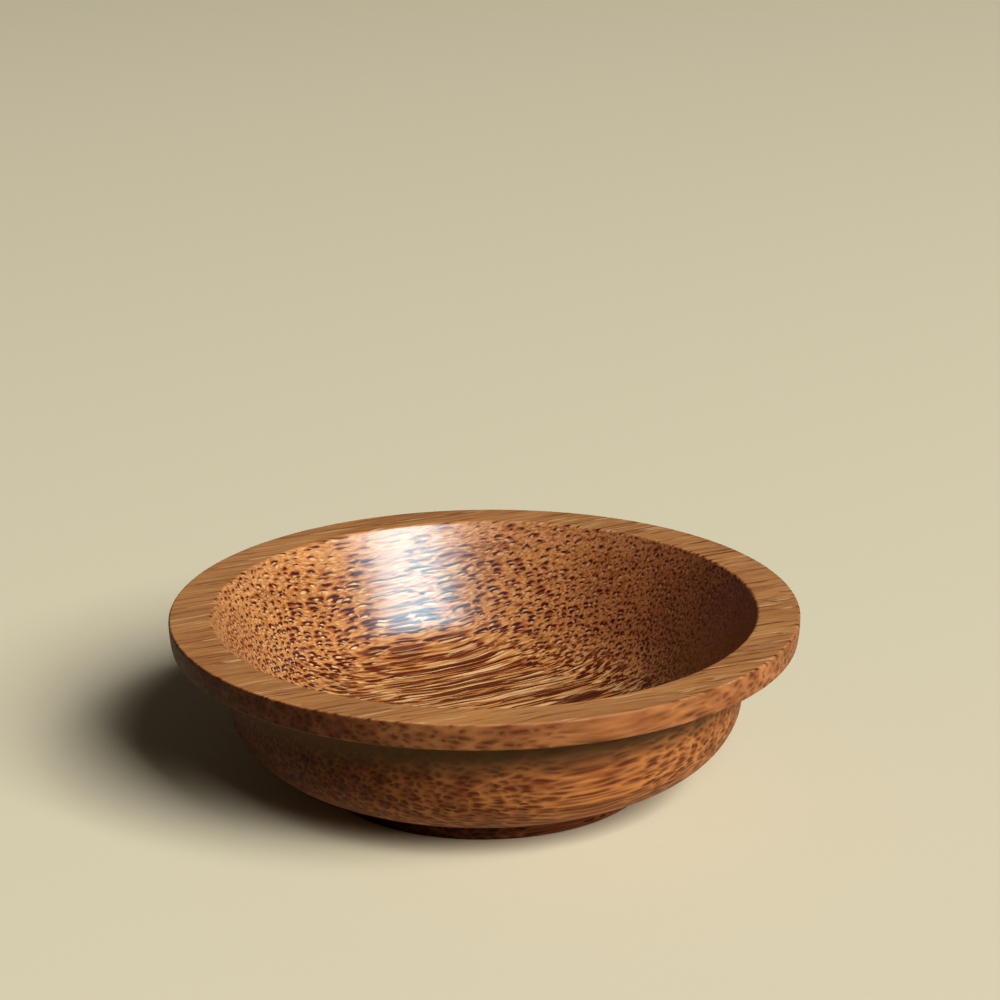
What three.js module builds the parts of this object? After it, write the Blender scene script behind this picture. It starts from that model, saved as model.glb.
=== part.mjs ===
// A small turned palm-wood bowl: a flanged rim ring, a round-bellied body and a foot ring, glued together.
// Millimetres, +Z up. The origin is on the table, under the middle of the foot.

import * as THREE from 'three';

// Rim ring
const RIM_RADIUS = 65; // outside of the rim, the widest point of the bowl
const RIM_WIDTH = 8.7; // from the outside of the rim to the edge of the mouth
const RIM_THICKNESS = 5.5; // top face to underside
const RIM_EDGE_ROUND = 0.5; // outer top edge
const RIM_FACE_TUCK = 0.5; // how far the convex outer face draws in on its way down
const RIM_LOWER_ROUND = 0.7; // outer lower edge
const MOUTH_ROUND = 0.8; // edge between the rim's top and the hollow

// Hollow and base of the body
const DISH_DEPTH = 28.6; // rim top to the floor of the hollow
const WALL_DROP = 18.2; // height of the hollow's straight wall
const WALL_LEAN = 10.5; // how far that wall leans in on its way down
const FLOOR_SPHERE = 300; // radius of the shallow floor
const BASE_THICKNESS = 3.9; // floor of the hollow to the body's underside

// Outside of the body
const NECK_SHOULDER = 2; // flat shoulder that the rim ring sits on
const NECK_LAND = 0.6; // short upright step above the cove
const COVE_RADIUS = 3.7; // hollow moulding under the rim
const BELLY_DROP = 15.2; // height of the belly's quarter ellipse

// Joint between the body and the rim ring
const RIM_TONGUE_HEIGHT = 1.2;
const RIM_TONGUE_WIDTH = 1.3; // at its top

// Foot ring
const FOOT_RADIUS = 34.6;
const FOOT_HEIGHT = 4.6;
const FOOT_WIDTH = 7.5; // outside to inside of the ring
const FOOT_LEDGE = 1.3; // how far the foot stands out past the flat of the body's underside
const FOOT_ROUND = 0.6; // the two edges that meet the table
const FOOT_TOP_CHAMFER = 0.4;

// Joint between the body and the foot ring
const FOOT_TONGUE_HEIGHT = 1.4;
const FOOT_TONGUE_WIDTH = 2;

const JOINT_CLEARANCE = 0.2; // glue space round both tongues

// Steps round the axis and along each curve
const TURN_STEPS = 96;
const CORNER_STEPS = 8;
const FLOOR_STEPS = 5;
const BELLY_STEPS = 10;
const COVE_STEPS = 5;
const FACE_STEPS = 4;
const ROUND_STEPS = 3;

const QUARTER_TURN = Math.PI / 2;

// Lacquered wood: the rim's top is paler, and the foot is darker and duller.
const RIM_FINISH = { color: 0xa06c3a, roughness: 0.38, metalness: 0 };
const BODY_FINISH = { color: 0x8a4f22, roughness: 0.35, metalness: 0 };
const FOOT_FINISH = { color: 0x6f3d1b, roughness: 0.45, metalness: 0 };

// Heights
const floorZ = FOOT_HEIGHT + BASE_THICKNESS;
const topZ = floorZ + DISH_DEPTH;
const rimUnderZ = topZ - RIM_THICKNESS;
const rimSeamZ = rimUnderZ + RIM_TONGUE_HEIGHT;
const bellyTopZ = FOOT_HEIGHT + BELLY_DROP;
const coveTopZ = rimUnderZ - NECK_LAND;
const coveBottomZ = coveTopZ - COVE_RADIUS;

// The hollow has a straight leaning wall and a shallow floor, and a round joins them without a crease. The
// round's radius follows from the wall's lower end and from the floor's sphere, because it touches both.
const mouthRadius = RIM_RADIUS - RIM_WIDTH;
const wallTilt = Math.atan2(WALL_DROP, WALL_LEAN);
const wallWidthAt = (z) => mouthRadius - ((topZ - z) * WALL_LEAN) / WALL_DROP;
const wallEnd = { r: mouthRadius - WALL_LEAN, z: topZ - WALL_DROP };
const floor = { r: 0, z: floorZ + FLOOR_SPHERE, radius: FLOOR_SPHERE };
const corner = cornerRound();

function cornerRound() {
  const inwards = { r: -Math.sin(wallTilt), z: Math.cos(wallTilt) };
  const below = floor.z - wallEnd.z;
  const gap = floor.radius ** 2 - wallEnd.r ** 2 - below ** 2;
  const radius = gap / (2 * (floor.radius + wallEnd.r * inwards.r - below * inwards.z));
  return { r: wallEnd.r + radius * inwards.r, z: wallEnd.z + radius * inwards.z, radius };
}

// Radii from the seam in the hollow outwards, so that the joint, the neck and the wall stay together.
const seamRadius = wallWidthAt(rimSeamZ);
const tongueRadius = seamRadius + RIM_TONGUE_WIDTH;
const neckRadius = tongueRadius + NECK_SHOULDER;
const wallRadius = neckRadius - COVE_RADIUS;

// The foot's seat, and the tongue in the middle of it.
const seatRadius = FOOT_RADIUS - FOOT_LEDGE;
const footInnerRadius = FOOT_RADIUS - FOOT_WIDTH;
const footTongueMiddle = (seatRadius + footInnerRadius) / 2;
const footTongueInner = footTongueMiddle - FOOT_TONGUE_WIDTH / 2;
const footTongueOuter = footTongueMiddle + FOOT_TONGUE_WIDTH / 2;

const point = (r, z) => new THREE.Vector2(r, z);

// Points on an ellipse about (r, z), from one angle to another. Angle 0 points away from the axis.
function arc(r, z, halfWidth, halfHeight, from, to, steps) {
  const clockwise = to < from;
  const curve = new THREE.EllipseCurve(r, z, halfWidth, halfHeight, from, to, clockwise);
  return curve.getPoints(steps);
}

const circleArc = (circle, from, to, steps) =>
  arc(circle.r, circle.z, circle.radius, circle.radius, from, to, steps);

const angleTo = (circle, target) => Math.atan2(target.z - circle.z, target.r - circle.r);

// A small edge round that lies inside a large circle and touches the flat face at planeZ from above.
function edgeRound(circle, planeZ, radius) {
  const z = planeZ + radius;
  const reach = circle.radius - radius;
  const r = circle.r + Math.sqrt(reach ** 2 - (circle.z - z) ** 2);
  return { r, z, radius };
}

// The profile is turned round Y, and then Y is stood up as Z.
function turned(name, profile, finish) {
  const geometry = new THREE.LatheGeometry(profile, TURN_STEPS);
  geometry.rotateX(QUARTER_TURN);
  const mesh = new THREE.Mesh(geometry, new THREE.MeshStandardMaterial(finish));
  mesh.name = name;
  return mesh;
}

function rimRing() {
  const rebateRadius = tongueRadius + JOINT_CLEARANCE;

  // The outer face starts upright below the top edge's round and is tucked in at the underside.
  const faceHeight = RIM_THICKNESS - RIM_EDGE_ROUND;
  const faceRadius = (faceHeight ** 2 + RIM_FACE_TUCK ** 2) / (2 * RIM_FACE_TUCK);
  const face = { r: RIM_RADIUS - faceRadius, z: topZ - RIM_EDGE_ROUND, radius: faceRadius };

  const lowerRound = edgeRound(face, rimUnderZ, RIM_LOWER_ROUND);
  const lowerAngle = angleTo(face, lowerRound);
  const topRound = { r: RIM_RADIUS - RIM_EDGE_ROUND, z: topZ - RIM_EDGE_ROUND, radius: RIM_EDGE_ROUND };
  const mouthReach = MOUTH_ROUND * Math.tan(wallTilt / 2);
  const mouth = { r: mouthRadius + mouthReach, z: topZ - MOUTH_ROUND, radius: MOUTH_ROUND };

  const profile = [
    point(seamRadius, rimSeamZ),
    point(rebateRadius, rimSeamZ),
    point(rebateRadius, rimUnderZ),
    ...circleArc(lowerRound, -QUARTER_TURN, lowerAngle, ROUND_STEPS),
    ...circleArc(face, lowerAngle, 0, FACE_STEPS).slice(1),
    ...circleArc(topRound, 0, QUARTER_TURN, ROUND_STEPS).slice(1),
    ...circleArc(mouth, QUARTER_TURN, QUARTER_TURN + wallTilt, ROUND_STEPS),
    point(seamRadius, rimSeamZ),
  ];
  return turned('rim_ring', profile, RIM_FINISH);
}

function bowlBody() {
  const grooveInner = footTongueInner - JOINT_CLEARANCE;
  const grooveOuter = footTongueOuter + JOINT_CLEARANCE;
  const grooveTopZ = FOOT_HEIGHT + FOOT_TONGUE_HEIGHT + JOINT_CLEARANCE;
  const bellyRun = wallRadius - seatRadius;
  const floorAngle = angleTo(floor, corner);

  const profile = [
    point(0, FOOT_HEIGHT),
    point(grooveInner, FOOT_HEIGHT),
    point(grooveInner, grooveTopZ),
    point(grooveOuter, grooveTopZ),
    point(grooveOuter, FOOT_HEIGHT),
    ...arc(seatRadius, bellyTopZ, bellyRun, BELLY_DROP, -QUARTER_TURN, 0, BELLY_STEPS),
    ...arc(neckRadius, coveBottomZ, COVE_RADIUS, COVE_RADIUS, Math.PI, QUARTER_TURN, COVE_STEPS),
    point(neckRadius, rimUnderZ),
    point(tongueRadius, rimUnderZ),
    point(tongueRadius, rimSeamZ),
    point(seamRadius, rimSeamZ),
    ...circleArc(corner, wallTilt - QUARTER_TURN, floorAngle, CORNER_STEPS),
    ...circleArc(floor, floorAngle, -QUARTER_TURN, FLOOR_STEPS).slice(1, -1),
    point(0, floorZ),
  ];
  return turned('bowl_body', profile, BODY_FINISH);
}

function footRing() {
  const outerRound = { r: FOOT_RADIUS - FOOT_ROUND, z: FOOT_ROUND, radius: FOOT_ROUND };
  const innerRound = { r: footInnerRadius + FOOT_ROUND, z: FOOT_ROUND, radius: FOOT_ROUND };
  const tongueTopZ = FOOT_HEIGHT + FOOT_TONGUE_HEIGHT;

  const profile = [
    ...circleArc(outerRound, -QUARTER_TURN, 0, ROUND_STEPS),
    point(FOOT_RADIUS, FOOT_HEIGHT - FOOT_TOP_CHAMFER),
    point(FOOT_RADIUS - FOOT_TOP_CHAMFER, FOOT_HEIGHT),
    point(footTongueOuter, FOOT_HEIGHT),
    point(footTongueOuter, tongueTopZ),
    point(footTongueInner, tongueTopZ),
    point(footTongueInner, FOOT_HEIGHT),
    point(footInnerRadius, FOOT_HEIGHT),
    ...circleArc(innerRound, -Math.PI, -QUARTER_TURN, ROUND_STEPS),
    point(outerRound.r, 0),
  ];
  return turned('foot_ring', profile, FOOT_FINISH);
}

const bowl = new THREE.Group();
bowl.add(rimRing(), bowlBody(), footRing());

export default bowl;
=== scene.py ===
# %% [markdown]
# # A small turned bowl of palm wood
#
# The bowl is three glued pieces: a flat rim, a round-bellied body and a low foot. The solid parts set the
# sizes, and this script turns the same three pieces again with finer steps and softer edges. Then it gives
# them the look of palm wood, a timber without growth rings. Its figure comes from fibre bundles that run
# the length of the stem. Each one shows as a dot where the surface cuts across it and as a streak where the
# surface runs along it.
#
# The solid parts are loaded first, and the size of each is printed.

import math

import bpy
from mathutils import Matrix, Quaternion, Vector


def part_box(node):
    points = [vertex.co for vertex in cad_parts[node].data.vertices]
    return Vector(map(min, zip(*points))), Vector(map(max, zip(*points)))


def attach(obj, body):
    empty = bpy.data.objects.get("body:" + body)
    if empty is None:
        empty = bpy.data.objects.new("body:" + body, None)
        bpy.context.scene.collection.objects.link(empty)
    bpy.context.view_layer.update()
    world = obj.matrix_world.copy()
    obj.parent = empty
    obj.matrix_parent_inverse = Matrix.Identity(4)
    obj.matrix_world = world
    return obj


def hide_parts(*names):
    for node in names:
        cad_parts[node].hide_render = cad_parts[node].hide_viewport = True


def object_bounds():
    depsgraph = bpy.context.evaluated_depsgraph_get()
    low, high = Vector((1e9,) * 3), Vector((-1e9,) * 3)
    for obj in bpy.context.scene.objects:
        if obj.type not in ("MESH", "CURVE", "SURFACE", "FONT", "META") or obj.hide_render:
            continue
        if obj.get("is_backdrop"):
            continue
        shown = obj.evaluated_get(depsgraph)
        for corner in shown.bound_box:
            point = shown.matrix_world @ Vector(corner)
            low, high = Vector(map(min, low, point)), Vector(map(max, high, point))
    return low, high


MM = 0.001

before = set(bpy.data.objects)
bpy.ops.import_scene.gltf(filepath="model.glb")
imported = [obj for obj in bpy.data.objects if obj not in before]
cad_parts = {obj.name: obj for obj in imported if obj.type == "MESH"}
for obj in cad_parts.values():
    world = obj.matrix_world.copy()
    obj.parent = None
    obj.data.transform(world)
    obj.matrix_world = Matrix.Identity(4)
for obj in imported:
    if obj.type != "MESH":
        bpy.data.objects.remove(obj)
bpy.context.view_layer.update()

for node_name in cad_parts:
    low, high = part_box(node_name)
    print(node_name, [round(size / MM, 2) for size in high - low], "mm")

# %% [markdown]
# ## The profile's sizes
#
# A turned piece is known once half of its section is known. The section could be drawn by eye, but then it
# would drift away from the solid parts, so the outer radii and the heights are read from their boxes. What
# a box can't tell is given in millimetres where it is needed.

# %% Radii and heights from the solid parts
rim_low, rim_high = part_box("rim_ring")
body_low, body_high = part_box("bowl_body")
foot_low, foot_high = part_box("foot_ring")

rim_radius = rim_high.x
top_z = rim_high.z
rim_under_z = rim_low.z
neck_radius = body_high.x
seam_z = body_high.z
underside_z = body_low.z
foot_radius = foot_high.x
foot_tongue_z = foot_high.z
base_z = foot_low.z

print("bowl:", round(2 * rim_radius / MM, 1), "mm across,", round((top_z - base_z) / MM, 1), "mm high")

# %% [markdown]
# The hollow has a straight wall that leans outwards. The rim ring and the body meet on it, so the seam's
# radius follows from the lean.

# %% Wall of the hollow
RIM_WIDTH = 8.7 * MM
WALL_DROP = 18.2 * MM
WALL_LEAN = 10.5 * MM

mouth_radius = rim_radius - RIM_WIDTH
wall_tilt = math.atan2(WALL_DROP, WALL_LEAN)
seam_radius = mouth_radius - (top_z - seam_z) * WALL_LEAN / WALL_DROP
print("wall of the hollow at", round(math.degrees(wall_tilt), 1), "degrees")

# %% [markdown]
# Both joints are glued tongues, because a plain butt joint could slip off centre while the glue sets. The
# body's tongue centres the rim, and the foot's tongue goes up into a groove of the body.

# %% Seats of the joints
NECK_SHOULDER = 2 * MM
FOOT_WIDTH = 7.5 * MM
FOOT_LEDGE = 1.3 * MM
FOOT_TONGUE_WIDTH = 2 * MM
JOINT_CLEARANCE = 0.2 * MM

rim_tongue_radius = neck_radius - NECK_SHOULDER
seat_radius = foot_radius - FOOT_LEDGE
foot_inner_radius = foot_radius - FOOT_WIDTH
foot_tongue_middle = (seat_radius + foot_inner_radius) / 2
foot_tongue_inner = foot_tongue_middle - FOOT_TONGUE_WIDTH / 2
foot_tongue_outer = foot_tongue_middle + FOOT_TONGUE_WIDTH / 2
print("foot's tongue", round(foot_tongue_middle / MM, 2), "mm from the axis")

# %% [markdown]
# ## Drawing a profile
#
# A profile is a row of points, each one a distance from the axis and a height. Straight runs are given points
# that crowd towards their ends. That keeps the flats flat in the light and the rounds crisp. On a round, the
# directions out, up, in and down are angles about its centre.

# %% Runs of a profile
UP = math.pi / 2
OUT = 0
DOWN = -math.pi / 2
IN = math.pi

STRAIGHT_STEPS = 8
ROUND_STEPS = 8


def straight(first, last, steps=STRAIGHT_STEPS):
    shares = [(1 - math.cos(math.pi * step / steps)) / 2 for step in range(steps + 1)]
    across, up = last[0] - first[0], last[1] - first[1]
    return [(first[0] + across * share, first[1] + up * share) for share in shares]


def oval(centre, half_width, half_height, first, last, steps):
    angles = [first + (last - first) * step / steps for step in range(steps + 1)]
    return [(centre[0] + half_width * math.cos(a), centre[1] + half_height * math.sin(a)) for a in angles]


def arc(centre, radius, first, last, steps=ROUND_STEPS):
    return oval(centre, radius, radius, first, last, steps)


def angle_to(centre, target):
    return math.atan2(target[1] - centre[1], target[0] - centre[0])


print("one straight run has", len(straight((0, 0), (1, 0))), "points")

# %% [markdown]
# A whole profile is runs laid end to end. Where two of them don't meet, a straight run goes in between, so
# a plain corner can be given as a single point.

# %% Join the runs
MEETING_DISTANCE = 0.0001 * MM


def joined(*runs, closed=False):
    row = list(runs[0])
    for run in runs[1:]:
        if math.dist(row[-1], run[0]) > MEETING_DISTANCE:
            row += straight(row[-1], run[0])[1:]
        row += run[1:]
    if closed:
        row += straight(row[-1], row[0])[1:]
    return row


print("a corner of three points becomes", len(joined([(0, 0)], [(1, 0)], [(1, 1)])), "points")

# %% [markdown]
# ## The three profiles
#
# The rim's outer face bulges a little and tucks in below, so it is an arc of a large circle. Its lower round
# touches that arc and the flat underside, and the centre follows from both. The round at the mouth touches
# the flat top and the leaning wall.

# %% Rim profile
RIM_EDGE_ROUND = 0.5 * MM
RIM_FACE_TUCK = 0.5 * MM
RIM_LOWER_ROUND = 0.7 * MM
MOUTH_ROUND = 0.8 * MM
FACE_STEPS = 12
EDGE_STEPS = 12
MOUTH_STEPS = 10

face_height = top_z - rim_under_z - RIM_EDGE_ROUND
face_radius = (face_height**2 + RIM_FACE_TUCK**2) / (2 * RIM_FACE_TUCK)
face_centre = (rim_radius - face_radius, top_z - RIM_EDGE_ROUND)

lower_z = rim_under_z + RIM_LOWER_ROUND
lower_reach = face_radius - RIM_LOWER_ROUND
lower_centre = (face_centre[0] + math.sqrt(lower_reach**2 - (face_centre[1] - lower_z) ** 2), lower_z)
lower_angle = angle_to(face_centre, lower_centre)
edge_centre = (rim_radius - RIM_EDGE_ROUND, top_z - RIM_EDGE_ROUND)
mouth_centre = (mouth_radius + MOUTH_ROUND * math.tan(wall_tilt / 2), top_z - MOUTH_ROUND)
rebate_radius = rim_tongue_radius + JOINT_CLEARANCE

rim_profile = joined(
    [(seam_radius, seam_z), (rebate_radius, seam_z)],
    [(rebate_radius, rim_under_z)],
    arc(lower_centre, RIM_LOWER_ROUND, DOWN, lower_angle),
    arc(face_centre, face_radius, lower_angle, OUT, FACE_STEPS),
    arc(edge_centre, RIM_EDGE_ROUND, OUT, UP, EDGE_STEPS),
    arc(mouth_centre, MOUTH_ROUND, UP, UP + wall_tilt, MOUTH_STEPS),
    [(seam_radius, seam_z)],
)
print("rim profile:", len(rim_profile), "points")

# %% [markdown]
# The hollow's wall runs into a shallow floor, and a round joins the two without a crease. A round set by eye
# would leave a line in the gloss. This one touches the wall at its lower end, so its centre lies square to
# the wall there. It also touches the floor's large sphere from inside, so the distance between the two
# centres is the difference of the two radii. Together they give its radius.

# %% Corner and floor of the hollow
DISH_DEPTH = 28.6 * MM
FLOOR_SPHERE = 300 * MM

wall_end = (mouth_radius - WALL_LEAN, top_z - WALL_DROP)
floor_centre = (0, top_z - DISH_DEPTH + FLOOR_SPHERE)
inwards = (-math.sin(wall_tilt), math.cos(wall_tilt))
centre_height = floor_centre[1] - wall_end[1]
gap = FLOOR_SPHERE**2 - wall_end[0] ** 2 - centre_height**2
corner_round = gap / (2 * (FLOOR_SPHERE + wall_end[0] * inwards[0] - centre_height * inwards[1]))
corner_centre = (wall_end[0] + corner_round * inwards[0], wall_end[1] + corner_round * inwards[1])
floor_angle = angle_to(floor_centre, corner_centre)
print("round between wall and floor:", round(corner_round / MM, 1), "mm")

# %% [markdown]
# The body's outside is a quarter of an ellipse, then an upright wall and a small cove under the rim. Its
# underside has the groove for the foot's tongue, and its top edge has the step that centres the rim.

# %% Body profile
NECK_LAND = 0.6 * MM
NECK_EDGE_ROUND = 0.2 * MM
COVE_RADIUS = 3.7 * MM
BELLY_DROP = 15.2 * MM
BELLY_STEPS = 36
COVE_STEPS = 14
NECK_EDGE_STEPS = 5
WALL_STEPS = 24
CORNER_STEPS = 24
FLOOR_STEPS = 28

wall_radius = neck_radius - COVE_RADIUS
cove_top_z = rim_under_z - NECK_LAND
cove_centre = (neck_radius, cove_top_z - COVE_RADIUS)
cove_end = UP + math.asin(NECK_EDGE_ROUND / COVE_RADIUS)
neck_edge_centre = (neck_radius - NECK_EDGE_ROUND, cove_top_z + NECK_EDGE_ROUND)
belly_centre = (seat_radius, underside_z + BELLY_DROP)
groove_inner = foot_tongue_inner - JOINT_CLEARANCE
groove_outer = foot_tongue_outer + JOINT_CLEARANCE
groove_top_z = foot_tongue_z + JOINT_CLEARANCE

body_profile = joined(
    [(0, underside_z)],
    [(groove_inner, underside_z)],
    [(groove_inner, groove_top_z)],
    [(groove_outer, groove_top_z)],
    [(groove_outer, underside_z)],
    oval(belly_centre, wall_radius - seat_radius, BELLY_DROP, DOWN, OUT, BELLY_STEPS),
    arc(cove_centre, COVE_RADIUS, IN, cove_end, COVE_STEPS),
    arc(neck_edge_centre, NECK_EDGE_ROUND, DOWN, OUT, NECK_EDGE_STEPS),
    [(neck_radius, rim_under_z)],
    [(rim_tongue_radius, rim_under_z)],
    [(rim_tongue_radius, seam_z)],
    straight((seam_radius, seam_z), wall_end, WALL_STEPS),
    arc(corner_centre, corner_round, wall_tilt + DOWN, floor_angle, CORNER_STEPS),
    arc(floor_centre, FLOOR_SPHERE, floor_angle, DOWN, FLOOR_STEPS),
)
print("body profile:", len(body_profile), "points")

# %% [markdown]
# The foot is a plain ring with its tongue on top. It closes on itself, as the rim does.

# %% Foot profile
FOOT_ROUND = 0.6 * MM
FOOT_TOP_ROUND = 0.4 * MM

foot_outer_centre = (foot_radius - FOOT_ROUND, base_z + FOOT_ROUND)
foot_inner_centre = (foot_inner_radius + FOOT_ROUND, base_z + FOOT_ROUND)
foot_top_centre = (foot_radius - FOOT_TOP_ROUND, underside_z - FOOT_TOP_ROUND)

foot_profile = joined(
    arc(foot_outer_centre, FOOT_ROUND, DOWN, OUT),
    arc(foot_top_centre, FOOT_TOP_ROUND, OUT, UP),
    [(foot_tongue_outer, underside_z)],
    [(foot_tongue_outer, foot_tongue_z)],
    [(foot_tongue_inner, foot_tongue_z)],
    [(foot_tongue_inner, underside_z)],
    [(foot_inner_radius, underside_z)],
    arc(foot_inner_centre, FOOT_ROUND, -IN, DOWN),
    closed=True,
)
print("foot profile:", len(foot_profile), "points")

# %% [markdown]
# ## The lathe
#
# A lathe spins the wood against a cutter, so a piece is its profile carried round the axis. A Screw modifier
# could do that, but a node tree serves all three pieces with the same named inputs. It lays out a grid with
# one row for each point of the profile, and bends each row into a circle.

# %% Node helpers


def add(tree, kind, **settings):
    node = tree.nodes.new(kind)
    for name, value in settings.items():
        setattr(node, name, value)
    return node


def feed(tree, socket, value):
    """Links a socket to another node's output, or sets a plain value on it."""
    if isinstance(value, bpy.types.NodeSocket):
        tree.links.new(value, socket)
    else:
        socket.default_value = value


def operate(tree, kind, operation, values, **settings):
    node = add(tree, kind, operation=operation, **settings)
    for socket, value in zip(node.inputs, values):
        feed(tree, socket, value)
    return node.outputs


def calc(tree, operation, *values, clamp=False):
    return operate(tree, "ShaderNodeMath", operation, values, use_clamp=clamp)[0]


def whole(tree, operation, *values):
    """The same for whole numbers."""
    return operate(tree, "FunctionNodeIntegerMath", operation, values)[0]


print("helpers: add, feed, operate, calc, whole")

# %% [markdown]
# The grid's points are numbered row by row. Whole-number division finds the row that a point belongs to, and
# the remainder is its step round the axis.

# %% Lathe: grid
lathe = bpy.data.node_groups.new("lathe", "GeometryNodeTree")
lathe.is_modifier = True
lathe.interface.new_socket("Profile", in_out="INPUT", socket_type="NodeSocketGeometry")
steps_socket = lathe.interface.new_socket("Steps Round", in_out="INPUT", socket_type="NodeSocketInt")
finish_socket = lathe.interface.new_socket("Finish", in_out="INPUT", socket_type="NodeSocketMaterial")
lathe.interface.new_socket("Piece", in_out="OUTPUT", socket_type="NodeSocketGeometry")

lathe_in = add(lathe, "NodeGroupInput").outputs
lathe_out = add(lathe, "NodeGroupOutput").inputs

profile_size = add(lathe, "GeometryNodeAttributeDomainSize", component="MESH")
feed(lathe, profile_size.inputs["Geometry"], lathe_in["Profile"])
per_row = whole(lathe, "ADD", lathe_in["Steps Round"], 1)
grid = add(lathe, "GeometryNodeMeshGrid")
feed(lathe, grid.inputs["Vertices X"], profile_size.outputs["Point Count"])
feed(lathe, grid.inputs["Vertices Y"], per_row)

point_number = add(lathe, "GeometryNodeInputIndex").outputs[0]
row_number = whole(lathe, "DIVIDE_FLOOR", point_number, per_row)
step_number = whole(lathe, "MODULO", point_number, per_row)
print("lathe, grid:", len(lathe.nodes), "nodes")

# %% [markdown]
# Each point takes its distance from the axis and its height from the profile, and its angle from its step.
# The turn runs backwards, which leaves the faces looking outwards.

# %% Lathe: bend the rows
FULL_TURN = 2 * math.pi

profile_place = add(lathe, "GeometryNodeInputPosition").outputs[0]
sample = add(lathe, "GeometryNodeSampleIndex", data_type="FLOAT_VECTOR", domain="POINT")
feed(lathe, sample.inputs["Geometry"], lathe_in["Profile"])
feed(lathe, sample.inputs["Value"], profile_place)
feed(lathe, sample.inputs["Index"], row_number)
sampled = add(lathe, "ShaderNodeSeparateXYZ")
feed(lathe, sampled.inputs[0], sample.outputs[0])
from_axis, up_axis = sampled.outputs["X"], sampled.outputs["Z"]

turn = calc(lathe, "DIVIDE", step_number, lathe_in["Steps Round"])
turn = calc(lathe, "MULTIPLY", turn, -FULL_TURN)
ring = add(lathe, "ShaderNodeCombineXYZ")
feed(lathe, ring.inputs["X"], calc(lathe, "MULTIPLY", from_axis, calc(lathe, "COSINE", turn)))
feed(lathe, ring.inputs["Y"], calc(lathe, "MULTIPLY", from_axis, calc(lathe, "SINE", turn)))
feed(lathe, ring.inputs["Z"], up_axis)

bent = add(lathe, "GeometryNodeSetPosition")
feed(lathe, bent.inputs["Geometry"], grid.outputs["Mesh"])
feed(lathe, bent.inputs["Position"], ring.outputs[0])
print("lathe, bent rows:", len(lathe.nodes), "nodes")

# %% [markdown]
# Points that land on each other, at the seam and on the axis, are merged. The surface is shaded smooth except
# at real corners, and the last two nodes give a plain mesh with its finish.

# %% Lathe: close, smooth and finish
SHARP_ANGLE = math.radians(40)
MERGE_DISTANCE = 0.001 * MM

merged = add(lathe, "GeometryNodeMergeByDistance")
feed(lathe, merged.inputs["Geometry"], bent.outputs[0])
feed(lathe, merged.inputs["Distance"], MERGE_DISTANCE)

smooth = add(lathe, "GeometryNodeSetShadeSmooth", domain="FACE")
feed(lathe, smooth.inputs["Geometry"], merged.outputs[0])
fold = add(lathe, "GeometryNodeInputMeshEdgeAngle").outputs["Unsigned Angle"]
crisp = add(lathe, "GeometryNodeSetShadeSmooth", domain="EDGE")
feed(lathe, crisp.inputs["Geometry"], smooth.outputs[0])
feed(lathe, crisp.inputs["Selection"], calc(lathe, "GREATER_THAN", fold, SHARP_ANGLE))
feed(lathe, crisp.inputs["Shade Smooth"], False)

realized = add(lathe, "GeometryNodeRealizeInstances")
feed(lathe, realized.inputs["Geometry"], crisp.outputs[0])
finished = add(lathe, "GeometryNodeSetMaterial")
feed(lathe, finished.inputs["Geometry"], realized.outputs[0])
feed(lathe, finished.inputs["Material"], lathe_in["Finish"])
feed(lathe, lathe_out["Piece"], finished.outputs[0])
print("lathe tree:", len(lathe.nodes), "nodes")

# %% [markdown]
# ## Palm wood
#
# A palm has no growth rings. Its stem is soft ground tissue with thousands of hard fibre bundles running
# through it, almost straight. An image can't wrap round a bowl without a seam, so the figure is computed from
# the place in the solid instead: wherever the lathe cuts, the right dot or streak shows by itself. It is
# built as groups of nodes that all three pieces share.

# %% Group and vector helpers


def new_group(name, inputs, outputs):
    group = bpy.data.node_groups.new(name, "ShaderNodeTree")
    for way, sockets in (("INPUT", inputs), ("OUTPUT", outputs)):
        for label, kind in sockets.items():
            group.interface.new_socket(label, in_out=way, socket_type="NodeSocket" + kind)
    return group, add(group, "NodeGroupInput").outputs, add(group, "NodeGroupOutput").inputs


def vector_calc(tree, operation, *values):
    outputs = operate(tree, "ShaderNodeVectorMath", operation, values)
    return outputs["Value" if operation in ("DOT_PRODUCT", "DISTANCE") else "Vector"]


def scaled(tree, vector, factor):
    node = add(tree, "ShaderNodeVectorMath", operation="SCALE")
    feed(tree, node.inputs["Vector"], vector)
    feed(tree, node.inputs["Scale"], factor)
    return node.outputs["Vector"]


def split(tree, vector):
    node = add(tree, "ShaderNodeSeparateXYZ")
    feed(tree, node.inputs[0], vector)
    return node.outputs["X"], node.outputs["Y"], node.outputs["Z"]


print("helpers: new_group, vector_calc, scaled, split")

# %% [markdown]
# Three more helpers give the wood its variety. Noise is counted in waves per millimetre along each axis,
# a ramp turns a value into another range and stops at both ends, and the third is a ramp over a share.

# %% Noise and ramps


def noise(tree, place, waves, detail=1):
    node = add(tree, "ShaderNodeTexNoise", noise_dimensions="3D")
    node.inputs["Scale"].default_value = 1
    node.inputs["Detail"].default_value = detail
    feed(tree, node.inputs["Vector"], vector_calc(tree, "MULTIPLY", place, waves))
    return node.outputs


def ramp(tree, value, first, last, low=0, high=1, soft=False):
    """Runs from low, where the value is first, to high, where it is last."""
    node = add(tree, "ShaderNodeMapRange", interpolation_type="SMOOTHSTEP" if soft else "LINEAR")
    labels = ("Value", "From Min", "From Max", "To Min", "To Max")
    for label, number in zip(labels, (value, first, last, low, high)):
        feed(tree, node.inputs[label], number)
    return node.outputs["Result"]


def between(tree, share, low, high):
    """A ramp over a share from 0 to 1."""
    return ramp(tree, share, 0, 1, low, high)


print("helpers: noise, ramp, between")

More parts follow.
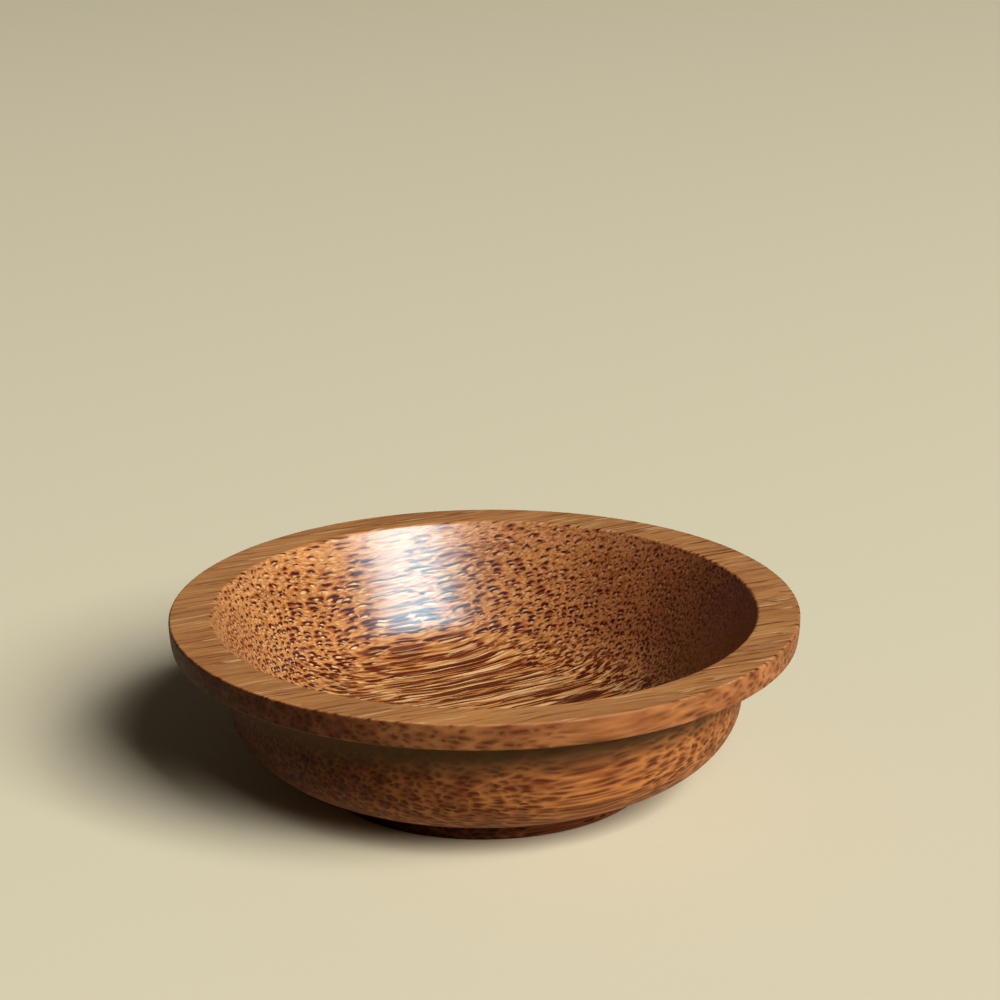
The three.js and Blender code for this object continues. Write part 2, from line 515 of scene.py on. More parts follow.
# %% [markdown]
# First come a coordinate along the fibres and two across them, in millimetres. The blank was sawn a little
# askew, so the fibres swing towards the back on the right, and they wander slightly on their way.

# %% Fibres: direction and wander
FIBRE_SWING = math.radians(24)
FIBRE_RISE = math.radians(2.4)
WANDER = 2.4
WANDER_WAVES = (0.05, 0.04, 0.04)
FINE_WANDER = 1.1
FINE_WANDER_WAVES = (0.11, 0.4, 0.4)
NOISE_MEAN = 0.5
NOISE_MIDDLE = (NOISE_MEAN, NOISE_MEAN, NOISE_MEAN)

fibre_turn = Matrix.Rotation(FIBRE_RISE, 3, "Y") @ Matrix.Rotation(-FIBRE_SWING, 3, "Z")
fibre_direction = fibre_turn[0]

fibres, fibres_in, fibres_out = new_group(
    "fibre coordinates",
    {"Place": "Vector"},
    {"Along": "Vector", "Across": "Vector", "Height": "Float"},
)
mapping = add(fibres, "ShaderNodeMapping")
mapping.inputs["Scale"].default_value = (1 / MM, 1 / MM, 1 / MM)
mapping.inputs["Rotation"].default_value = fibre_turn.to_euler()
feed(fibres, mapping.inputs["Vector"], fibres_in["Place"])
straight_fibre = mapping.outputs[0]

bent_fibre = straight_fibre
for sway_reach, sway_waves in ((WANDER, WANDER_WAVES), (FINE_WANDER, FINE_WANDER_WAVES)):
    drift = noise(fibres, straight_fibre, sway_waves)["Color"]
    sway = scaled(fibres, vector_calc(fibres, "SUBTRACT", drift, NOISE_MIDDLE), sway_reach)
    bent_fibre = vector_calc(fibres, "ADD", bent_fibre, sway)
feed(fibres, fibres_out["Along"], bent_fibre)
print("fibres run along", [round(part, 3) for part in fibre_direction])

# %% [markdown]
# Bundles crowd together towards the bark, here downwards. Squeezing the pattern in one direction would
# flatten each bundle. Instead an even pattern is laid out like a fan that swells downwards, which makes the
# bundles smaller and closer without changing their shape. At the even height they lie as far apart as given.

# %% Fibres: crowding
CROWDING = 0.0135
BUNDLE_SPACING = 1.05
EVEN_HEIGHT = 15

side, height = split(fibres, bent_fibre)[1:]
climb = calc(fibres, "SUBTRACT", height, EVEN_HEIGHT)
swell = calc(fibres, "EXPONENT", calc(fibres, "MULTIPLY", climb, -CROWDING))
fan_radius = calc(fibres, "MULTIPLY", swell, 1 / (CROWDING * BUNDLE_SPACING))
fan_angle = calc(fibres, "MULTIPLY", side, CROWDING)
fan = add(fibres, "ShaderNodeCombineXYZ")
feed(fibres, fan.inputs["X"], calc(fibres, "MULTIPLY", fan_radius, calc(fibres, "SINE", fan_angle)))
feed(fibres, fan.inputs["Y"], calc(fibres, "MULTIPLY", fan_radius, calc(fibres, "COSINE", fan_angle)))
feed(fibres, fibres_out["Across"], fan.outputs[0])
feed(fibres, fibres_out["Height"], height)
print("fibre coordinates:", len(fibres.nodes), "nodes")

# %% [markdown]
# ## Fibre bundles
#
# Each bundle has a hard dark cap of fibres with a red edge, arched over a pale vessel. A Voronoi pattern
# scatters cells over the plane across the fibres, and every cell holds one bundle with its own lean and size.

# %% Bundles: one in each cell
CELL_SCATTER = 0.8
LEAN = 1.9
BUNDLE_SIZES = (0.65, 1.25)

bundles, bundles_in, bundles_out = new_group(
    "fibre bundles",
    {"Across": "Vector", "Ragged": "Vector", "Cap Radius": "Float", "Softness": "Float"},
    {"Cap": "Float", "Red Edge": "Float", "Vessel": "Float"},
)
cells = add(bundles, "ShaderNodeTexVoronoi", voronoi_dimensions="2D", feature="F1")
cells.inputs["Scale"].default_value = 1
cells.inputs["Randomness"].default_value = CELL_SCATTER
feed(bundles, cells.inputs["Vector"], bundles_in["Across"])
draws = add(bundles, "ShaderNodeSeparateColor")
feed(bundles, draws.inputs[0], cells.outputs["Color"])
draw_lean, draw_size, draw_strength = draws.outputs

from_middle = vector_calc(bundles, "SUBTRACT", bundles_in["Across"], cells.outputs["Position"])
from_middle = vector_calc(bundles, "ADD", from_middle, bundles_in["Ragged"])
leaned = add(bundles, "ShaderNodeVectorRotate", rotation_type="Z_AXIS")
feed(bundles, leaned.inputs["Vector"], from_middle)
feed(bundles, leaned.inputs["Angle"], between(bundles, draw_lean, -LEAN / 2, LEAN / 2))
own_size = between(bundles, draw_size, *BUNDLE_SIZES)
in_bundle = scaled(bundles, leaned.outputs[0], calc(bundles, "DIVIDE", 1, own_size))
print("bundles, cells:", len(bundles.nodes), "nodes")

# %% [markdown]
# Cap, red edge and vessel are soft discs, set a little apart. The vessel is cut out of the cap, which leaves
# the cap as the dark arch that the real wood shows. Some bundles have no pale vessel, by a second draw from
# the same random number.

# %% Bundles: cap, red edge and vessel
CAP_PLACE = (0, -0.04, 0)
CAP_EDGE = 0.1
CAP_STRENGTHS = (0.6, 1.2)
RED_PLACE = (-0.07, 0, 0)
RED_WIDTH = 0.1
VESSEL_PLACE = (0, 0.27, 0)
VESSEL_RADIUS = 0.2
VESSEL_EDGE = 0.1
VESSEL_DRAW = 7
PALE_VESSELS = (0.05, 0.7)


def disc(tree, place, middle, radius, soft_edge):
    """1 inside the radius and 0 outside it, with a soft edge."""
    inside_by = calc(tree, "SUBTRACT", radius, vector_calc(tree, "DISTANCE", place, middle))
    return ramp(tree, calc(tree, "DIVIDE", inside_by, soft_edge), -1, 1, soft=True)


strength = between(bundles, draw_strength, *CAP_STRENGTHS)
vessel = disc(bundles, in_bundle, VESSEL_PLACE, VESSEL_RADIUS, VESSEL_EDGE)
cap = disc(bundles, in_bundle, CAP_PLACE, bundles_in["Cap Radius"], CAP_EDGE)
cap = calc(bundles, "MULTIPLY", cap, calc(bundles, "SUBTRACT", 1, vessel))
red_radius = calc(bundles, "ADD", bundles_in["Cap Radius"], RED_WIDTH)
red_edge = disc(bundles, in_bundle, RED_PLACE, red_radius, bundles_in["Softness"])
draw_vessel = calc(bundles, "FRACT", calc(bundles, "MULTIPLY", draw_strength, VESSEL_DRAW))
paleness = ramp(bundles, draw_vessel, *PALE_VESSELS)

feed(bundles, bundles_out["Cap"], calc(bundles, "MULTIPLY", cap, strength))
feed(bundles, bundles_out["Red Edge"], calc(bundles, "MULTIPLY", red_edge, strength))
feed(bundles, bundles_out["Vessel"], calc(bundles, "MULTIPLY", vessel, paleness))
print("fibre bundles:", len(bundles.nodes), "nodes")

# %% [markdown]
# ## Ground tissue
#
# The tissue between the bundles is grainy where it is cut across and finely lined where it is cut along.
# A noise does the same when it is drawn out along the fibres. Broader noises give paler and darker stretches,
# and one more is the fine relief that sanding leaves. Some of them read a shifted place, so that they don't
# echo each other. The last one frays the outlines of the bundles.

# %% Ground tissue
GRAIN_WAVES = (0.1, 1.6, 1.6)
GRAIN_DETAIL = 3
HAIR_WAVES = (0.1, 2.8, 2.8)
LINE_WAVES = (0.04, 1.45, 1.45)
PATCH_WAVES = (0.02, 0.12, 0.12)
BLOTCH_WAVES = (0.12, 0.42, 0.42)
GROOVE_WAVES = (0.1, 1.8, 1.8)
GROOVE_DETAIL = 2
RAGGED_WAVES = (0.2, 1.5, 1.5)
RAGGED_REACH = 0.45
SHIFT = (0, 41, 17)

ground, ground_in, ground_out = new_group(
    "ground tissue",
    {"Along": "Vector"},
    {
        "Grain": "Float",
        "Patch": "Float",
        "Blotch": "Float",
        "Hair": "Float",
        "Lines": "Float",
        "Groove": "Float",
        "Ragged": "Vector",
    },
)
own_place = ground_in["Along"]
shifted = vector_calc(ground, "ADD", own_place, SHIFT)
tissue_noises = {
    "Grain": noise(ground, own_place, GRAIN_WAVES, GRAIN_DETAIL),
    "Patch": noise(ground, own_place, PATCH_WAVES),
    "Blotch": noise(ground, own_place, BLOTCH_WAVES),
    "Hair": noise(ground, shifted, HAIR_WAVES),
    "Lines": noise(ground, shifted, LINE_WAVES),
    "Groove": noise(ground, shifted, GROOVE_WAVES, GROOVE_DETAIL),
}
for label, tissue_noise in tissue_noises.items():
    feed(ground, ground_out[label], tissue_noise["Fac"])

ragged = noise(ground, own_place, RAGGED_WAVES)["Color"]
ragged = scaled(ground, vector_calc(ground, "SUBTRACT", ragged, NOISE_MIDDLE), RAGGED_REACH)
feed(ground, ground_out["Ragged"], ragged)
print("ground tissue:", len(ground.nodes), "nodes")

# %% [markdown]
# ## How the wood looks at any place
#
# All three pieces are the same timber, so one shared group works out its look from a place and from the way
# the surface faces there. It needs a few more helpers, for colours and for changes that a mask limits.

# %% Colour helpers


def srgb(red, green, blue):
    """A colour from 0 to 255 on the sRGB curve, as the linear values that shaders use."""

    def linear(value):
        value = value / 255
        return value / 12.92 if value <= 0.04045 else ((value + 0.055) / 1.055) ** 2.4

    return (linear(red), linear(green), linear(blue), 1)


def mix(tree, share, first, second):
    node = add(tree, "ShaderNodeMix", data_type="RGBA")
    feed(tree, node.inputs["Factor"], share)
    first_in, second_in = [socket for socket in node.inputs if socket.type == "RGBA"]
    feed(tree, first_in, first)
    feed(tree, second_in, second)
    return next(socket for socket in node.outputs if socket.type == "RGBA")


def times_where(tree, value, mask, factor):
    """The value, multiplied by the factor where the mask is 1."""
    return calc(tree, "MULTIPLY", value, between(tree, mask, 1, factor))


def use(tree, group, **values):
    """Places a group in a tree. An underscore in a name stands for a space."""
    node = add(tree, "ShaderNodeGroup", node_tree=group)
    for name, value in values.items():
        feed(tree, node.inputs[name.replace("_", " ")], value)
    return node.outputs


print("helpers: srgb, mix, times_where, use")

# %% [markdown]
# Masks say what kind of place it is. They could be painted on each piece, but computed ones still fit after
# a size has changed. Depth runs from the rim's top, 0, to the base, 1. Two more tell how squarely the surface
# cuts the fibres, and whether it faces against their direction. The outside is what faces away from the axis
# or down, and the whole foot counts as outside. The last mask is the floor of the hollow. Heights are in
# millimetres.

# %% Wood: masks
TOP_HEIGHT = 37
LOW_HEIGHT = 8
AGAINST_FULL = -0.85
LEVEL_PART = (1, 1, 0)
OUTWARDS = (0.3, 0.9)
DOWNWARDS = (0, -0.3)
FOOT_HEIGHTS = (6.3, 6)
FLOOR_HEIGHTS = (15, 10)

wood, wood_in, wood_out = new_group(
    "palm wood",
    {"Place": "Vector", "Facing": "Vector", "Pale": "Color", "Deep": "Color", "Outside Tone": "Float"},
    {"Colour": "Color", "Lacquer": "Float", "Roughness": "Float", "Relief": "Float"},
)
fibre = use(wood, fibres, Place=wood_in["Place"])
tissue = use(wood, ground, Along=fibre["Along"])

depth = ramp(wood, fibre["Height"], TOP_HEIGHT, LOW_HEIGHT)
fibre_slope = vector_calc(wood, "DOT_PRODUCT", wood_in["Facing"], fibre_direction)
end_grain = calc(wood, "ABSOLUTE", fibre_slope)
against = ramp(wood, fibre_slope, 0, AGAINST_FULL)

level_place = vector_calc(wood, "MULTIPLY", wood_in["Place"], LEVEL_PART)
away_from_axis = vector_calc(wood, "NORMALIZE", level_place)
facing_out = vector_calc(wood, "DOT_PRODUCT", wood_in["Facing"], away_from_axis)
facing_up = split(wood, wood_in["Facing"])[2]
above_base = calc(wood, "DIVIDE", split(wood, wood_in["Place"])[2], MM)
outside = calc(wood, "MAXIMUM", ramp(wood, facing_out, *OUTWARDS), ramp(wood, facing_up, *DOWNWARDS))
outside = calc(wood, "MAXIMUM", outside, ramp(wood, above_base, *FOOT_HEIGHTS))
inside = calc(wood, "SUBTRACT", 1, outside)
on_floor = calc(wood, "MULTIPLY", ramp(wood, fibre["Height"], *FLOOR_HEIGHTS), inside)
print("wood, masks:", len(wood.nodes), "nodes")

# %% [markdown]
# Bundles are small near the rim's top and grow downwards. Their caps look thinner on the floor and where the
# surface faces against the fibres, and softer on the outside. A face cut along the fibres shows fewer hard
# ends, so the rim's top stays calm and pale.

# %% Wood: size and strength of the bundles
CAP_RADII = (0.21, 0.5)
TORN_CAP_RADIUS = 0.68
FLOOR_CAP_RADIUS = 0.68
OUTSIDE_RADII = (0.24, 0.42)
RED_SOFTNESS = (0.16, 0.42)
HARD_BASE = 0.2
HARD_BY_DEPTH = 2
HARD_BY_END_GRAIN = 2.5

inner_radius = between(wood, depth, *CAP_RADII)
inner_radius = times_where(wood, inner_radius, against, TORN_CAP_RADIUS)
inner_radius = times_where(wood, inner_radius, on_floor, FLOOR_CAP_RADIUS)
outer_radius = between(wood, depth, *OUTSIDE_RADII)
bundle = use(
    wood,
    bundles,
    Across=fibre["Across"],
    Ragged=tissue["Ragged"],
    Cap_Radius=between(wood, outside, inner_radius, outer_radius),
    Softness=between(wood, outside, *RED_SOFTNESS),
)

by_depth = calc(wood, "MULTIPLY", depth, HARD_BY_DEPTH)
by_end_grain = calc(wood, "MULTIPLY", end_grain, HARD_BY_END_GRAIN)
hard = calc(wood, "ADD", calc(wood, "ADD", by_depth, by_end_grain), HARD_BASE, clamp=True)
print("wood, bundles:", len(wood.nodes), "nodes")

# %% [markdown]
# The ground runs between a deep and a pale tone that each piece brings along. Grain and broad patches move it
# up and down, and on the outside there are blotches where the finish soaked in unevenly.

# %% Wood: ground colour
CALM = 0.08
OUTSIDE_GRAIN = 0.15
GRAIN_CONTRAST = 2.6
PATCH_CONTRAST = 1.2
BLOTCH_CONTRAST = 2.2
MIDDLE_SHADES = (0.55, 1)


def swing(tree, value, reach):
    """A noise value from 0 to 1 as a swing about 0."""
    return calc(tree, "MULTIPLY", calc(tree, "SUBTRACT", value, NOISE_MEAN), reach)


lively = times_where(wood, between(wood, hard, CALM, 1), outside, OUTSIDE_GRAIN)
grain = swing(wood, tissue["Grain"], calc(wood, "MULTIPLY", lively, GRAIN_CONTRAST))
patch = swing(wood, tissue["Patch"], PATCH_CONTRAST)
blotch = swing(wood, tissue["Blotch"], calc(wood, "MULTIPLY", outside, BLOTCH_CONTRAST))
shade = calc(wood, "ADD", between(wood, depth, *MIDDLE_SHADES), grain)
shade = calc(wood, "ADD", shade, patch)
shade = calc(wood, "ADD", shade, blotch, clamp=True)
colour = mix(wood, shade, wood_in["Deep"], wood_in["Pale"])
print("wood, ground:", len(wood.nodes), "nodes")

# %% [markdown]
# Dark and pale hairs are single fibres in the ground. Where the surface faces against them, the cutter lifts
# them a little and more of the dark ones show.

# %% Wood: hairs
EDGE_COLOUR = (132, 48, 8)
VESSEL_COLOUR = (234, 188, 128)
HAIR_SHARE = 0.5
HAIR_DARK = (0.46, 0.32)
HAIR_PALE = (0.56, 0.68)
TORN_DARK_HAIR = 2
TORN_PALE_HAIR = 0.6

hair_share = calc(wood, "MULTIPLY", lively, HAIR_SHARE)
dark_share = times_where(wood, hair_share, against, TORN_DARK_HAIR)
pale_share = times_where(wood, hair_share, against, TORN_PALE_HAIR)
dark_hair = calc(wood, "MULTIPLY", ramp(wood, tissue["Hair"], *HAIR_DARK), dark_share, clamp=True)
pale_hair = calc(wood, "MULTIPLY", ramp(wood, tissue["Hair"], *HAIR_PALE), pale_share)
colour = mix(wood, dark_hair, colour, srgb(*EDGE_COLOUR))
colour = mix(wood, pale_hair, colour, srgb(*VESSEL_COLOUR))
print("wood, hairs:", len(wood.nodes), "nodes")

# %% [markdown]
# Then come the bundles, from the widest mark to the smallest: the red edge, the dark cap and the pale vessel.
# On the outside all three are weaker, and the edge is browner.

# %% Wood: marks of the bundles
OUTSIDE_EDGE_COLOUR = (86, 38, 15)
OUTSIDE_EDGES = (0.65, 1)
FLOOR_EDGES = 0.5
CAP_COLOUR = (60, 15, 2)
CAP_RANGE = (0.3, 0.8)
OUTSIDE_CAPS = 0.2
VESSEL_SHARES = (0.65, 0.95)
OUTSIDE_VESSELS = 0.12
TORN_VESSELS = 0.75
FLOOR_VESSELS = 0.45

edge_share = calc(wood, "MULTIPLY", bundle["Red Edge"], hard, clamp=True)
edge_share = times_where(wood, edge_share, outside, between(wood, depth, *OUTSIDE_EDGES))
edge_share = times_where(wood, edge_share, on_floor, FLOOR_EDGES)
edge_colour = mix(wood, outside, srgb(*EDGE_COLOUR), srgb(*OUTSIDE_EDGE_COLOUR))
colour = mix(wood, edge_share, colour, edge_colour)

cap_share = calc(wood, "MULTIPLY", ramp(wood, bundle["Cap"], *CAP_RANGE), hard)
cap_share = times_where(wood, cap_share, outside, OUTSIDE_CAPS)
colour = mix(wood, cap_share, colour, srgb(*CAP_COLOUR))

vessel_share = calc(wood, "MULTIPLY", bundle["Vessel"], between(wood, depth, *VESSEL_SHARES))
vessel_share = times_where(wood, vessel_share, outside, OUTSIDE_VESSELS)
vessel_share = times_where(wood, vessel_share, against, TORN_VESSELS)
vessel_share = times_where(wood, vessel_share, on_floor, FLOOR_VESSELS)
colour = mix(wood, vessel_share, colour, srgb(*VESSEL_COLOUR))
print("wood, marks:", len(wood.nodes), "nodes")

# %% [markdown]
# The floor of the hollow runs almost along the fibres, so the bundles there are drawn out into thin lines.
# Stretched bundles alone would come out too broad. A fine noise, cut off at three levels, gives the red, the
# dark and the pale lines, and their ends taper by themselves.

# %% Wood: lines on the floor of the hollow
LINE_SHARE = 0.96
RED_LINES = (0.48, 0.455)
DARK_LINES = (0.455, 0.42)
PALE_LINES = (0.61, 0.66)
TORN_PALE_LINES = 0

line_share = calc(wood, "MULTIPLY", on_floor, LINE_SHARE)
red_line = calc(wood, "MULTIPLY", ramp(wood, tissue["Lines"], *RED_LINES), line_share)
dark_line = calc(wood, "MULTIPLY", ramp(wood, tissue["Lines"], *DARK_LINES), line_share)
pale_line = calc(wood, "MULTIPLY", ramp(wood, tissue["Lines"], *PALE_LINES), line_share)
pale_line = times_where(wood, pale_line, against, TORN_PALE_LINES)
colour = mix(wood, red_line, colour, srgb(*EDGE_COLOUR))
colour = mix(wood, dark_line, colour, srgb(*CAP_COLOUR))
colour = mix(wood, pale_line, colour, srgb(*VESSEL_COLOUR))
print("wood, lines:", len(wood.nodes), "nodes")

# %% [markdown]
# Where the inside faces against the fibres, the colour is darkened and reddened. This is painted shade: it
# falls on the right side of the hollow, which faces away from the window. On the outside the colour is made
# deeper, and much deeper where it faces against the fibres. That part is painted shade on the side away from
# the window. The cove under the rim and the wall just below it are mixed towards a dull brown. That is
# painted shade, with a painted reflection of the floor, under the rim's overhang.

# %% Wood: painted shade and the deeper outside
PAINTED_SHADE_TINT = (0.48, 0.345, 0.33)
PAINTED_SHADE_CURVE = 1.8
OUTSIDE_TINT = (0.92, 0.82, 0.9)
OUTSIDE_PAINTED_SHADE_AGAINST = (0.19, 0.16, 0.145, 1)
UNCHANGED = (1, 1, 1, 1)
COVE_PAINTED_SHADE_COLOUR = (80, 58, 34)
COVE_PAINTED_SHADE_SHARE = 0.88
COVE_SHADE_FROM = (21, 25.5)
COVE_SHADE_TO = (31.9, 31.5)

# Painted shade: inside, the side facing against the fibres, away from the window, is darkened and reddened.
shaded_against_colour = vector_calc(wood, "MULTIPLY", colour, PAINTED_SHADE_TINT)
inside_with_painted_shade = mix(wood, calc(wood, "POWER", against, PAINTED_SHADE_CURVE), colour, shaded_against_colour)

# The outside is made deeper in colour. Where it faces against the fibres, on the side away from the window,
# the extra darkening is painted shade.
outside_with_painted_shade = vector_calc(wood, "MULTIPLY", colour, OUTSIDE_TINT)
outside_with_painted_shade = scaled(wood, outside_with_painted_shade, wood_in["Outside Tone"])
outside_with_painted_shade = vector_calc(wood, "MULTIPLY", outside_with_painted_shade, mix(wood, against, UNCHANGED, OUTSIDE_PAINTED_SHADE_AGAINST))
# Painted shade and a painted reflection of the floor, in the cove under the rim's overhang.
cove_shade_mask = calc(wood, "MULTIPLY", ramp(wood, above_base, *COVE_SHADE_FROM), ramp(wood, above_base, *COVE_SHADE_TO))
outside_with_painted_shade = mix(wood, calc(wood, "MULTIPLY", cove_shade_mask, COVE_PAINTED_SHADE_SHARE), outside_with_painted_shade, srgb(*COVE_PAINTED_SHADE_COLOUR))
feed(wood, wood_out["Colour"], mix(wood, outside, inside_with_painted_shade, outside_with_painted_shade))
print("wood, soaked places:", len(wood.nodes), "nodes")

# %% [markdown]
# Only the hollow and the rim's top carry a film of lacquer that shines, and it is thinner over dark hairs.
# Under it the vessels are open pores, rougher and a little sunk, and the hard caps stand slightly proud.

# %% Wood: gloss and relief
HAIR_LACQUER = 0.6
BARE_ROUGHNESS = 0.5
PORE_ROUGHNESS = 0.65
GROOVE_RELIEF = 0.08
CAP_RELIEF = 0.012
VESSEL_RELIEF = 0.03

over_hair = ramp(wood, tissue["Hair"], *HAIR_DARK, 1, HAIR_LACQUER)
feed(wood, wood_out["Lacquer"], calc(wood, "MULTIPLY", over_hair, inside))
feed(wood, wood_out["Roughness"], between(wood, bundle["Vessel"], BARE_ROUGHNESS, PORE_ROUGHNESS))
relief = calc(wood, "MULTIPLY", tissue["Groove"], GROOVE_RELIEF)
relief = calc(wood, "ADD", relief, calc(wood, "MULTIPLY", bundle["Cap"], CAP_RELIEF))
relief = calc(wood, "SUBTRACT", relief, calc(wood, "MULTIPLY", bundle["Vessel"], VESSEL_RELIEF))
feed(wood, wood_out["Relief"], relief)
print("palm wood:", len(wood.nodes), "nodes")

# %% [markdown]
# ## Finishes
#
# Each piece gets its own pale and deep tone, because the layers of the blank come from different depths of
# the stem. The lacquer is the shader's coat: a smooth clear layer with its own gloss over the duller wood.
# The pattern reads the place in the object, so it runs on from one piece into the next.

# %% Wood finishes
WOOD_SPECULAR = 0.05
LACQUER_ROUGHNESS = 0.31
LACQUER_IOR = 1.59


def palm_wood(name, pale, deep, outside_tone):
    material = bpy.data.materials.new(name)
    material.use_nodes = True
    tree = material.node_tree
    shader = tree.nodes["Principled BSDF"]
    shader.inputs["Specular IOR Level"].default_value = WOOD_SPECULAR
    shader.inputs["Coat Roughness"].default_value = LACQUER_ROUGHNESS
    shader.inputs["Coat IOR"].default_value = LACQUER_IOR
    where = add(tree, "ShaderNodeTexCoord").outputs
    look = use(
        tree,
        wood,
        Place=where["Object"],
        Facing=where["Normal"],
        Pale=srgb(*pale),
        Deep=srgb(*deep),
        Outside_Tone=outside_tone,
    )
    feed(tree, shader.inputs["Base Color"], look["Colour"])
    feed(tree, shader.inputs["Coat Weight"], look["Lacquer"])
    feed(tree, shader.inputs["Roughness"], look["Roughness"])
    bump = add(tree, "ShaderNodeBump")
    bump.inputs["Distance"].default_value = MM
    feed(tree, bump.inputs["Height"], look["Relief"])
    feed(tree, shader.inputs["Normal"], bump.outputs[0])
    print(name, "from", pale, "to", deep)
    return material


rim_wood = palm_wood("rim wood", pale=(207, 139, 76), deep=(157, 95, 48), outside_tone=0.76)
body_wood = palm_wood("body wood", pale=(194, 128, 63), deep=(130, 71, 30), outside_tone=1.0)
foot_wood = palm_wood("foot wood", pale=(150, 90, 48), deep=(102, 54, 25), outside_tone=0.76)

# %% [markdown]
# ## Turning the three pieces
#
# Each profile is laid out as a line of points, and the lathe tree turns it. The result is kept as a plain
# mesh, so the pieces no longer need the tree. The steps round the axis are many, because the rim's outline is
# a long curve that would show its corners.

# %% Turn the pieces
STEPS_ROUND = 256


def turn_piece(name, profile, finish):
    drawing = bpy.data.meshes.new(name + " profile")
    lines = [(number, number + 1) for number in range(len(profile) - 1)]
    drawing.from_pydata([(r, 0, z) for r, z in profile], lines, [])
    piece = bpy.data.objects.new(name, drawing)
    bpy.context.collection.objects.link(piece)
    modifier = piece.modifiers.new("lathe", "NODES")
    modifier.node_group = lathe
    modifier[steps_socket.identifier] = STEPS_ROUND
    modifier[finish_socket.identifier] = finish
    depsgraph = bpy.context.evaluated_depsgraph_get()
    turned_mesh = bpy.data.meshes.new_from_object(piece.evaluated_get(depsgraph), depsgraph=depsgraph)
    piece.modifiers.clear()
    piece.data = turned_mesh
    turned_mesh.materials.clear()
    turned_mesh.materials.append(finish)
    print(name, len(turned_mesh.polygons), "faces")
    return piece


rim = turn_piece("rim", rim_profile, rim_wood)
body = turn_piece("body", body_profile, body_wood)
foot = turn_piece("foot", foot_profile, foot_wood)

# %% [markdown]
# Nothing on a bowl moves, so all three pieces ride on the one rigid body. Each of them stands for its solid
# part, which is hidden.

# %% Put the pieces in place of the solid parts
pieces = ((rim, "rim_ring", "rim_wood"), (body, "bowl_body", "body_wood"), (foot, "foot_ring", "foot_wood"))
for piece, node, slot in pieces:
    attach(piece, "root")
    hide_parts(node)
    print(piece.name, "stands for", node)

# %% [markdown]
# ## Floor, light and camera
#
# The bowl stands on a plain pale floor without any gloss. A curved backdrop could stand behind it, but the
# camera looks down, so a large flat floor already fills the view.

# %% Studio floor
STUDIO_FLOOR_SIZE = 12
STUDIO_FLOOR_COLOUR = (226, 210, 174)

bpy.ops.mesh.primitive_plane_add(size=STUDIO_FLOOR_SIZE)
studio_floor = bpy.context.object
studio_floor.name = "floor"
floor_finish = bpy.data.materials.new("floor")
floor_finish.use_nodes = True
floor_shader = floor_finish.node_tree.nodes["Principled BSDF"]
floor_shader.inputs["Base Color"].default_value = srgb(*STUDIO_FLOOR_COLOUR)
floor_shader.inputs["Roughness"].default_value = 1
floor_shader.inputs["Specular IOR Level"].default_value = 0
studio_floor.data.materials.append(floor_finish)
studio_floor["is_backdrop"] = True
print("floor:", STUDIO_FLOOR_SIZE, "m wide")

# %% [markdown]
# One large soft window stands on the right, towards the viewer. Its light on the wood is nearly white, but
# what the lacquer mirrors is the bluer sky behind it, and a single lamp has only one colour. So there are two
# lamps: one lights the wood, and the other, a little nearer so that they don't coincide, shows only in
# reflections. Width and height are for each metre of distance, so both look the same size from the bowl.

# %% Window light
WINDOW_DIRECTION = Vector((0.84, -1.0, 1.0)).normalized()
WINDOW_WIDTH = 0.55
WINDOW_HEIGHT = 0.5


def softbox(name, distance, level, tint):
    data = bpy.data.lights.new(name, "AREA")
    data.shape = "RECTANGLE"
    data.size = WINDOW_WIDTH * distance
    data.size_y = WINDOW_HEIGHT * distance
    data.energy = level * math.pi * data.size * data.size_y
    data.color = srgb(*tint)[:3]
    lamp = bpy.data.objects.new(name, data)
    lamp.location = WINDOW_DIRECTION * distance
    lamp.rotation_mode = "QUATERNION"
    lamp.rotation_quaternion = WINDOW_DIRECTION.to_track_quat("Z", "Y")
    bpy.context.collection.objects.link(lamp)
    print(name, round(data.energy), "W")
    return lamp


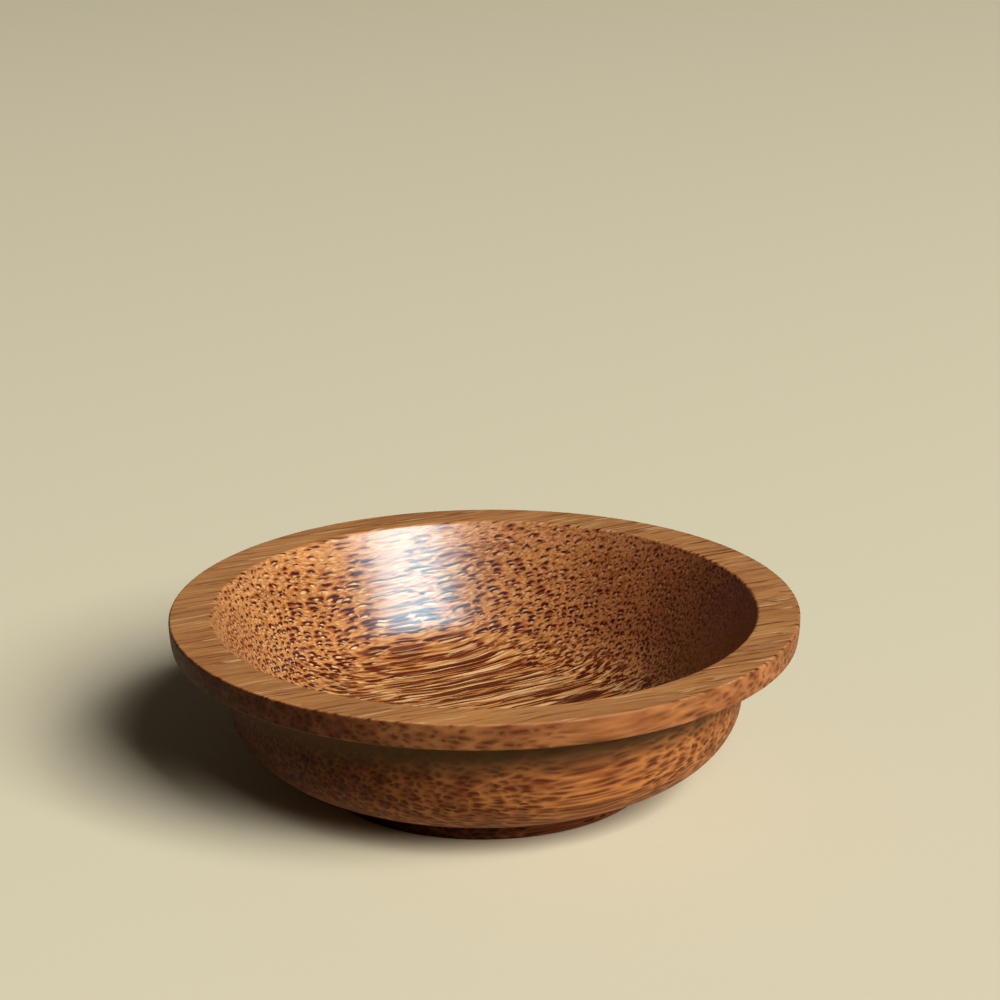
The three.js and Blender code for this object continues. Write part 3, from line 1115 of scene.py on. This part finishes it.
window = softbox("window", distance=6, level=20, tint=(240, 247, 255))
window.visible_glossy = False
sky_in_window = softbox("sky in window", distance=5.8, level=18, tint=(195, 239, 255))
sky_in_window.visible_diffuse = False

# %% [markdown]
# The rest of the room sends a little light back into the shadows. More lamps could do that, but each would
# add a highlight of its own, so a faint, even world stands for it.

# %% Room light
ROOM_COLOUR = (245, 240, 230)
ROOM_LEVEL = 0.04

room = bpy.data.worlds.new("studio")
bpy.context.scene.world = room
room.use_nodes = True
room_tree = room.node_tree
room_tree.nodes.clear()
room_light = add(room_tree, "ShaderNodeBackground")
feed(room_tree, room_light.inputs["Color"], srgb(*ROOM_COLOUR))
feed(room_tree, room_light.inputs["Strength"], ROOM_LEVEL)
room_out = add(room_tree, "ShaderNodeOutputWorld")
feed(room_tree, room_out.inputs["Surface"], room_light.outputs[0])
print("room light:", ROOM_LEVEL)

# %% [markdown]
# The camera looks slightly down into the bowl through a long lens, which keeps the rim's far and near sides
# alike in size. Its place and its lens were fitted to the two ellipses of the rim, and it is turned by
# a hair, as a camera in the hand is. Lens and sensor are in millimetres, and the place is in metres.

# %% Camera
LENS = 108
SENSOR = 36
CAMERA_PLACE = (0.00338, -0.58324, 0.248)
LOOK_DOWN = math.radians(17.85)
CAMERA_ROLL = math.radians(-0.46)

camera_data = bpy.data.cameras.new("camera")
camera_data.lens = LENS
camera_data.sensor_width = SENSOR
camera = bpy.data.objects.new("camera", camera_data)
camera.location = CAMERA_PLACE
camera.rotation_mode = "QUATERNION"
camera.rotation_quaternion = Quaternion((1, 0, 0), UP - LOOK_DOWN) @ Quaternion((0, 0, 1), CAMERA_ROLL)
bpy.context.collection.objects.link(camera)
bpy.context.scene.camera = camera
bpy.context.scene.view_settings.view_transform = "Standard"
print("camera", round(camera.location.length, 3), "m from the foot")

# %% [markdown]
# ## Size of the turned bowl
#
# The size of the box round the turned pieces is printed, to set beside the sizes of the solid parts
# printed at the start. The turned pieces have to stay inside the box of the solid parts.

# %% Size of the turned bowl
turned_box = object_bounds()
turned_low, turned_high = turned_box
print("turned bowl:", [round(size / MM, 2) for size in turned_high - turned_low], "mm")
